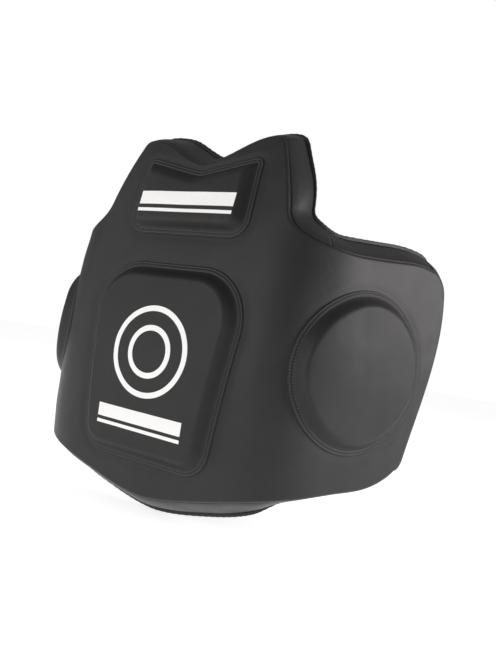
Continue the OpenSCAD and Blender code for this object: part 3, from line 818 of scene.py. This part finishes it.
def make_foams():
    u = np.linspace(-1, 1, 110)[:, None]
    v = np.linspace(0, 1, 40)[None]
    for node, depths in (("impact_foam", (SKIN_T + FOAM_GAP, FOAM_SPLIT)),
                         ("comfort_foam", (FOAM_SPLIT + GAP, BODY_T - SKIN_T - FOAM_GAP))):
        front, back = (at(*column(u, v, d, -FOAM_INSET), d) for d in depths)
        block = slab(node + "_block", front, back, FOAM)
        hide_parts(node)
        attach(block, "pad_body")


# ---- Printed marks ----

FILM = (0.25, 0.02)       # height of the print's face and back over the leather
RINGS = ((30, 38), (58, 66))      # radii of the target
TARGET_H = 215
STRIPES = {               # pad, half length, and the heights of each bar's edges
    "belly_stripes": (BELLY, 76, ((110, 129), (100, 105))),
    "chest_stripes": (CHEST, 84, ((430, 450), (419, 424))),
}


def film(name, outline, s, z):
    """Thin print over a grid of places on a pad."""
    face, back = (pad_surface(outline, s, z, height) for height in FILM)
    return slab(name, face, back, PRINT, crease=40)


def join(name, films):
    """One printed object made of several films."""
    points, faces, base = [], [], 0
    for piece in films:
        points.append(np.array([v.co for v in piece.data.vertices])/MM)
        faces.append(np.array([f.vertices[:] for f in piece.data.polygons]) + base)
        base += len(points[-1])
        bpy.data.objects.remove(piece)
    return solid(name, np.concatenate(points), [np.concatenate(faces)], PRINT, crease=40)


def make_marks():
    a = np.linspace(0, 2*math.pi, 121)[:, None]
    parts = []
    for k, (r0, r1) in enumerate(RINGS):
        r = np.linspace(r0, r1, 4)[None]
        parts.append(film(f"ring_{k}", BELLY, r*np.cos(a), TARGET_H + r*np.sin(a)))
    target = join("belly_target_print", parts)
    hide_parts("belly_target")
    marks = [target]
    for name, (outline, half, bars) in STRIPES.items():
        parts = []
        for k, (z0, z1) in enumerate(bars):
            s, z = np.meshgrid(np.linspace(-half, half, 70), np.linspace(z0, z1, 8), indexing="ij")
            parts.append(film(f"{name}_{k}", outline, s, z))
        marks.append(join(name + "_print", parts))
        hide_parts(name)
    for mark in marks:
        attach(mark, "pad_body")


# ---- Harness ----

STRAP_X, STRAP_W, STRAP_T, STRAP_SPLAY, STRAP_LEN = 92, 46, 8, 7.5, 175
WEB_W, WEB_T, BELT_W = 38, 2.2, 40
SEW_LOW, SEW_HIGH = 476, 530      # heights between which a strap is sewn to the lining
STRAP_LIFT, FOLD_R = 1.2, 9       # from the lining to a strap, and radius of its fold
BELT_Y = 270 - ORIGIN_Y
BELT_R, BELT_SEW_S = 18, 425      # the belt's bend behind the flank, and where its sewn end starts
BAR_X, HOOK_R, TAIL = 33, 3.2, 62         # the belt's turn round a buckle's bar, and its loose end
KEEPER_X = 80
STRAP_ROW = 4             # stitch rows of a strap, from its edges
LACED = {"pitch": 3.0, "length": 2.3}     # closer stitches, of boxes and patches
BOX_REACH = 14            # half width of a box of stitches
WEB_BOX = (4, 31)       # from the webbing's end to the edges of its box of stitches
SOCKET_LEN = 14           # webbing held inside the padded strap's end


def turned(angle, radius=1.0):
    return radius*np.array([np.cos(angle), np.sin(angle)]).T


def arc(middle, radius, start, end, steps):
    """Points of an arc from one angle to another, in degrees."""
    return middle + turned(np.radians(np.linspace(start, end, steps + 1)), radius)


# The strap's path in (y, z): up the lining, over a fold, and down towards the belt
sew_low, sew_high = (at(STRAP_X, h, BODY_T)[1:] for h in (SEW_LOW, SEW_HIGH))
sew_dir = unit(sew_high - sew_low)
sew_out = np.array([sew_dir[1], -sew_dir[0]])
strap_off = sew_out*(STRAP_LIFT + STRAP_T/2)
fold_mid = sew_high + strap_off + sew_out*FOLD_R
belt_top = np.array([BELT_Y - WEB_T - GAP, BELT_W/2 + 14])
run_angle = math.degrees(math.atan2(*(belt_top - fold_mid)[::-1])
                         - math.asin(FOLD_R/np.linalg.norm(belt_top - fold_mid)))
fold_end = fold_mid + turned(math.radians(run_angle + 90), FOLD_R)
run_dir = turned(math.radians(run_angle))
sew_angle = math.degrees(math.atan2(sew_dir[1], sew_dir[0]))


def at_shoulder(side):
    """Function that moves points made around x = 0 to a shoulder: side is 1 on the wearer's left."""
    turn = math.radians(side*STRAP_SPLAY)

    def place(across, y, z):
        drop = z - fold_mid[1]
        return np.stack([side*STRAP_X + across*math.cos(turn) + drop*math.sin(turn), y,
                         fold_mid[1] + drop*math.cos(turn) - across*math.sin(turn)], -1)
    return place


def round_waist(side):
    """Function that moves points of a band seen from above to one side of the waist belt."""
    return lambda across, x, y: np.stack([side*x, y, across], -1)


class Band:
    """Flat band of one width whose middle follows a path, seen edge on."""

    def __init__(self, path, width, half, place, spacing=1.6):
        self.path = resample(path, int(lengths(path)[-1]/spacing))
        self.normal = left_normals(self.path)
        self.along = lengths(self.path)
        self.width, self.half, self.place = width, half, place

    def face(self, across, run, side, over=0.0):
        """Points on one face (side 1 or -1) at places across and along the band."""
        across, run = np.broadcast_arrays(np.asarray(across, float), run)
        edge = np.sqrt(np.clip(1 - np.abs(2*across/self.width)**12, 0, 1))
        height = side*(self.half(across, run, self.along[-1])*edge + over)
        place, normal = (look_up(run, self.along, table) for table in (self.path, self.normal))
        place = place + normal*height[..., None]
        return self.place(across, place[..., 0], place[..., 1])

    def mesh(self, name, material, steps=28):
        across = self.width/2*np.sin(np.linspace(-math.pi/2, math.pi/2, steps + 1))[None]
        run = self.along[:, None]
        rings = np.concatenate([self.face(across, run, 1), self.face(across[:, -2:0:-1], run, -1)], 1)
        return tube(name, rings, material)

    def row(self, name, across, run, side, owner, **style):
        """Row of stitches on one face, through places across and along the band."""
        path = resample(np.stack(np.broadcast_arrays(np.asarray(across, float), run), -1), 60)
        line, above = (self.face(path[:, 0], path[:, 1], side, over) for over in (0.0, 3.0))
        stitches(name, line, unit(above - line), owner, **style)

    def box_rows(self, name, reach, start, end, side, owner):
        """Box of stitches with a cross in it."""
        corners = [(-reach, start), (reach, start), (reach, end), (-reach, end)]
        walks = [corners + corners[:1], [corners[0], corners[2]], [corners[1], corners[3]]]
        for k, walk in enumerate(walks):
            for j, (a, b) in enumerate(zip(walk, walk[1:])):
                self.row(f"{name}_{k}_{j}", [a[0], b[0]], [a[1], b[1]], side, owner, thread=0.8, **LACED)


def padded_half(across, run, total):
    """Half thickness of a padded strap: soft in the middle, sewn flat along its edges and ends."""
    edge = STRAP_W/2 - np.abs(across)
    ends = np.minimum(run, total - run)
    fill = ease((edge - 4.6)/8)*ease((ends - 3)/14)
    creases = 0.12*np.sin(run*2*math.pi/9 + across/9)*ease(edge/6)*fill
    return 1.5 + 2.6*fill + creases - 0.5*np.exp(-((edge - STRAP_ROW)/0.8)**2)


def woven_half(across, run, total):
    """Half thickness of webbing, a little fuller at its woven edges."""
    return WEB_T/2 + 0.1*np.exp(-((np.abs(across) - WEB_W/2 + 1.6)/1.2)**2) + 0*run


def make_shoulder(side, word):
    place = at_shoulder(side)
    path = np.concatenate([[sew_low + strap_off], arc(fold_mid, FOLD_R, sew_angle + 90, run_angle + 90, 30),
                           [fold_end + run_dir*STRAP_LEN]])
    strap = Band(path, STRAP_W, padded_half, place)
    piece = strap.mesh(f"shoulder_strap_{word}_leather", LEATHER)
    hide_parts(f"shoulder_strap_{word}")
    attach(piece, "pad_body")
    total = strap.along[-1]
    for edge in (-1, 1):
        for face in (-1, 1):
            across = [edge*(STRAP_W/2 - STRAP_ROW)]*2
            for k, span in enumerate(((12, 70), (70, 112), (112, total - 6))):
                strap.row(f"stitches_strap_{word}_{edge + 1}_{face + 1}_{k}", across, span, face, piece)

    web_start = fold_end + run_dir*(STRAP_LEN - SOCKET_LEN)
    bend = bezier_path([[belt_top - run_dir*16, belt_top - run_dir*6,
                         belt_top - [0.6, 0], belt_top - [0, 9]]], 20)
    path = np.concatenate([[web_start], bend, [[belt_top[0], 3 - BELT_W/2]]])
    web = Band(path, WEB_W, woven_half, place)
    tape = web.mesh(f"shoulder_webbing_{word}_woven", WEB_DOWN)
    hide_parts(f"shoulder_webbing_{word}")
    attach(tape, "pad_body")
    web_end = web.along[-1]
    for face in (-1, 1):
        strap.box_rows(f"stitches_strap_end_{word}_{face + 1}", BOX_REACH, total - 11, total - 4, face, piece)
        web.box_rows(f"stitches_web_end_{word}_{face + 1}", BOX_REACH, web_end - WEB_BOX[1],
                     web_end - WEB_BOX[0], face, tape)


PATCH_REACH = 33          # half size of the sewn patches
PATCH_ROWS = (3.0, 6.5)   # stitch rows of a patch, from its edge
PATCH_HALF_T = 0.8
SEAT = 1.4                # height of a patch's sewn border over the lining


def patch(name, node, grid):
    """Sewn patch. grid gives its points at shares across and along of -1 to 1, and a height."""
    a = np.sin(np.linspace(-math.pi/2, math.pi/2, 60))[:, None]
    b = np.sin(np.linspace(-math.pi/2, math.pi/2, 50))[None]
    edge = np.sqrt(np.clip(1 - np.maximum(np.abs(a), np.abs(b))**30, 0, 1))
    piece = slab(name, grid(a, b, PATCH_HALF_T*edge), grid(a, b, -PATCH_HALF_T*edge), LEATHER)
    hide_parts(node)
    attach(piece, "pad_body")
    for k, inset in enumerate(PATCH_ROWS):
        share = 1 - inset/PATCH_REACH
        across, along = resample(share*np.array([[-1, -1], [1, -1], [1, 1], [-1, 1]]), 150, closed=True).T
        line, above = (grid(across, along, height) for height in (PATCH_HALF_T, 4.0))
        stitches(f"stitches_{name}_{k}", line, unit(above - line), piece, closed=True, **LACED)


def make_strap_anchor(side, word):
    """Patch over the sewn end of a shoulder strap."""
    place = at_shoulder(side)
    middle = sew_low + sew_dir*10
    thick = STRAP_LIFT + STRAP_T + GAP

    def grid(a, b, over):
        a, b = np.broadcast_arrays(a, b)
        across, along = a*PATCH_REACH, b*24
        drape = ease((PATCH_REACH - 6 - np.abs(across))/6)*ease((along + 19)/7)
        top_seat = ease((along - 14)/10)
        height = SEAT + (thick - SEAT + 0.6)*drape + over - 0.2*top_seat*drape
        line = middle + along[..., None]*sew_dir + height[..., None]*sew_out
        return place(across, line[..., 0], line[..., 1])

    patch(f"strap_anchor_{word}_patch", f"strap_anchor_{word}", grid)


def belt_plan(s):
    """Place of the belt's middle against the lining at s, seen from above."""
    return at(s, WAIST_H, BODY_T + 1 + WEB_T/2)[..., :2]


sew_point = belt_plan(BELT_SEW_S)
flank = math.radians(FLANK_ANGLE)
bend_y = BELT_Y - BELT_R*(1 + math.cos(flank))
bend_s = BELT_SEW_S + (bend_y - sew_point[1])/math.sin(flank)
bend_mid = belt_plan(bend_s) + BELT_R*np.array([-math.sin(flank), math.cos(flank)])


def make_belt(side, word):
    path = np.concatenate([[sew_point], arc(bend_mid, BELT_R, FLANK_ANGLE - 90, 90, 20),
                           arc(np.array([BAR_X, BELT_Y + HOOK_R]), HOOK_R, 270, 90, 16),
                           [[BAR_X + TAIL, BELT_Y + 2*HOOK_R]]])
    belt = Band(path, BELT_W, woven_half, round_waist(side), spacing=0.9)
    piece = belt.mesh(f"waist_webbing_{word}_woven", WEB_ROUND, steps=22)
    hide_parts(f"waist_webbing_{word}")
    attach(piece, "pad_body")
    for edge in (-1, 1):
        across = [edge*(BELT_W/2 - 3)]*2
        span = [belt.along[-1] - 14, belt.along[-1] - 3]
        belt.row(f"stitches_belt_end_{word}_{edge + 1}", across, span, -1, piece, **LACED)


def make_belt_anchor(side, word):
    """Patch over the sewn end of the waist belt."""
    start_s, end_s = BELT_SEW_S - 12, bend_s - 6
    middle_s = (start_s + end_s)/2
    reach_s = (end_s - start_s)/2 + 5
    reach_z = PATCH_REACH*0.9
    thick = 1 + WEB_T + GAP + PATCH_HALF_T

    def grid(a, b, over):
        a, b = np.broadcast_arrays(a, b)
        across, along = a*reach_z, b*reach_s
        drape = ease((reach_z - 4 - np.abs(across))/4)*ease((along + reach_s - 4)/6)
        height = SEAT + (thick - SEAT)*drape + over
        return at(side*(middle_s + along), WAIST_H + across, BODY_T + height)

    patch(f"belt_anchor_{word}_patch", f"belt_anchor_{word}", grid)


def make_keeper(side, word):
    """Elastic loop that holds the belt's loose end down."""
    tall, deep, wall = BELT_W/2 + 1.3, HOOK_R + WEB_T/2 + 1.1, 1.3
    corner = 2.4
    path = np.concatenate([arc(np.array([y, z]), corner, start, start + 90, 8) for y, z, start in (
        (deep - corner, tall - corner, 0), (corner - deep, tall - corner, 90),
        (corner - deep, corner - tall, 180), (deep - corner, corner - tall, 270))])
    path = resample(path, 150, closed=True)
    normal = -left_normals(path, closed=True)
    theta = np.linspace(0, 2*math.pi, 28, endpoint=False)
    along = 6*np.sign(np.cos(theta))*np.abs(np.cos(theta))**0.3
    over = wall/2*np.sign(np.sin(theta))*np.abs(np.sin(theta))**0.5
    ring = path[:, None] + normal[:, None]*over[None, :, None]
    points = np.stack([side*KEEPER_X + np.broadcast_to(along, ring.shape[:2]),
                       BELT_Y + HOOK_R + ring[..., 0], ring[..., 1]], -1)
    piece = tube(f"belt_keeper_{word}_elastic", points, WEB_DOWN, closed=True)
    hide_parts(f"belt_keeper_{word}")
    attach(piece, f"keeper_{word}")


def make_harness():
    for side, word in SIDES:
        make_shoulder(side, word)
        make_strap_anchor(side, word)
        make_belt(side, word)
        make_belt_anchor(side, word)
        make_keeper(side, word)


# ---- Build of the object ----

shell = make_shell()
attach(shell, "pad_body")
for strip in make_gussets().values():
    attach(strip, "pad_body")
lining = make_lining()
lining_loop = outline_loop(BODY_T)
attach(lining, "pad_body")
tape = make_binding()
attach(tape, "pad_body")
for pad in PADS:
    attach(make_pad(pad), "pad_body")
make_foams()
make_marks()
make_harness()
# The moulded parts keep their CAD meshes, with their edges rounded a little
for name in ("buckle_socket", "buckle_plug", "buckle_arm_upper", "buckle_arm_lower",
             "strap_adjuster_left", "strap_adjuster_right"):
    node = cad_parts[name]
    node.data.materials.clear()
    node.data.materials.append(PLASTIC)
    weld = node.modifiers.new("weld", "WELD")
    weld.merge_threshold = 0.00001
    round_edges = node.modifiers.new("round_edges", "BEVEL")
    round_edges.width, round_edges.segments = 0.0006, 3
    round_edges.limit_method, round_edges.angle_limit = "ANGLE", math.radians(50)

# ---- Camera, light and floor ----

CAMERA_AZIMUTH, CAMERA_ELEVATION, CAMERA_ROLL = 30.9, 1.485, 9.604
CAMERA_DISTANCE, CAMERA_LENS = 0.9783, 32.78
CAMERA_SHIFT = (0.0076, 0.0391)
CAMERA_AIM = (0, 0.08857, 0.060)    # point that the camera is placed from
AIM_RIGHT, AIM_UP = -0.04437, -0.06329      # where that point lies from the line of sight


def bearing(azimuth, elevation):
    """Direction out from the object, where azimuth 0 is in front of it."""
    a, e = math.radians(azimuth), math.radians(elevation)
    return Vector((math.sin(a)*math.cos(e), -math.cos(a)*math.cos(e), math.sin(e)))


def make_camera():
    a, r = math.radians(CAMERA_AZIMUTH), math.radians(CAMERA_ROLL)
    ahead = -bearing(CAMERA_AZIMUTH, CAMERA_ELEVATION)
    level = Vector((math.cos(a), math.sin(a), 0))
    above = level.cross(ahead)
    right = level*math.cos(r) + above*math.sin(r)
    up = above*math.cos(r) - level*math.sin(r)
    camera = place_object("camera", bpy.data.cameras.new("camera"))
    camera.data.lens = CAMERA_LENS
    camera.data.shift_x, camera.data.shift_y = CAMERA_SHIFT
    place = Vector(CAMERA_AIM) - right*AIM_RIGHT + up*AIM_UP - ahead*CAMERA_DISTANCE
    axes = Matrix((right, up, -ahead)).transposed()
    camera.matrix_world = Matrix.Translation(place) @ axes.to_4x4()
    camera.data.clip_start, camera.data.clip_end = 0.02, 60
    bpy.context.scene.camera = camera


LAMP_COLOUR = (1, 0.965, 0.965)
LAMP_DISTANCE = 2.4
LAMP_AIM = (0, 0, 0.05)
SKY = (0.25, 1.0)         # strength of the white surroundings as a light, and as seen by the camera
FLOOR_R, FLOOR_SIDES = 9, 96


def softbox(name, azimuth, elevation, size, power):
    """Soft rectangular light that faces the object."""
    back = bearing(azimuth, elevation)
    lamp = bpy.data.lights.new(name, "AREA")
    lamp.shape, lamp.size, lamp.size_y = "RECTANGLE", size[0], size[1]
    lamp.energy = power
    lamp.color = LAMP_COLOUR
    light = place_object(name, lamp)
    light.location = Vector(LAMP_AIM) + back*LAMP_DISTANCE
    light.rotation_mode = "QUATERNION"
    light.rotation_quaternion = (-back).to_track_quat("-Z", "Y")


def make_studio():
    softbox("left", -55, 15, (1.4, 1.8), 7)
    softbox("key", -18, 15, (1.4, 1.8), 17)
    softbox("side", 112, 17, (1.0, 1.4), 37)
    world = bpy.data.worlds.new("studio")
    world.use_nodes = True
    tree = world.node_tree
    background = tree.nodes["Background"]
    seen = tree.nodes.new("ShaderNodeLightPath").outputs["Is Camera Ray"]
    strength = tree.nodes.new("ShaderNodeMapRange")
    strength.inputs["To Min"].default_value, strength.inputs["To Max"].default_value = SKY
    tree.links.new(seen, strength.inputs["Value"])
    tree.links.new(strength.outputs["Result"], background.inputs["Strength"])
    background.inputs["Color"].default_value = (1, 1, 1, 1)
    bpy.context.scene.world = world
    bpy.context.scene.view_settings.view_transform = "Standard"
    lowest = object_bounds()[0].z
    corners = turned(np.arange(FLOOR_SIDES)*2*math.pi/FLOOR_SIDES, FLOOR_R)
    data = bpy.data.meshes.new("floor")
    data.from_pydata([(x, y, lowest) for x, y in corners.tolist()], [], [list(range(FLOOR_SIDES))])
    data.materials.append(floor_paint("floor_paint"))
    floor = place_object("floor", data)


make_camera()
make_studio()
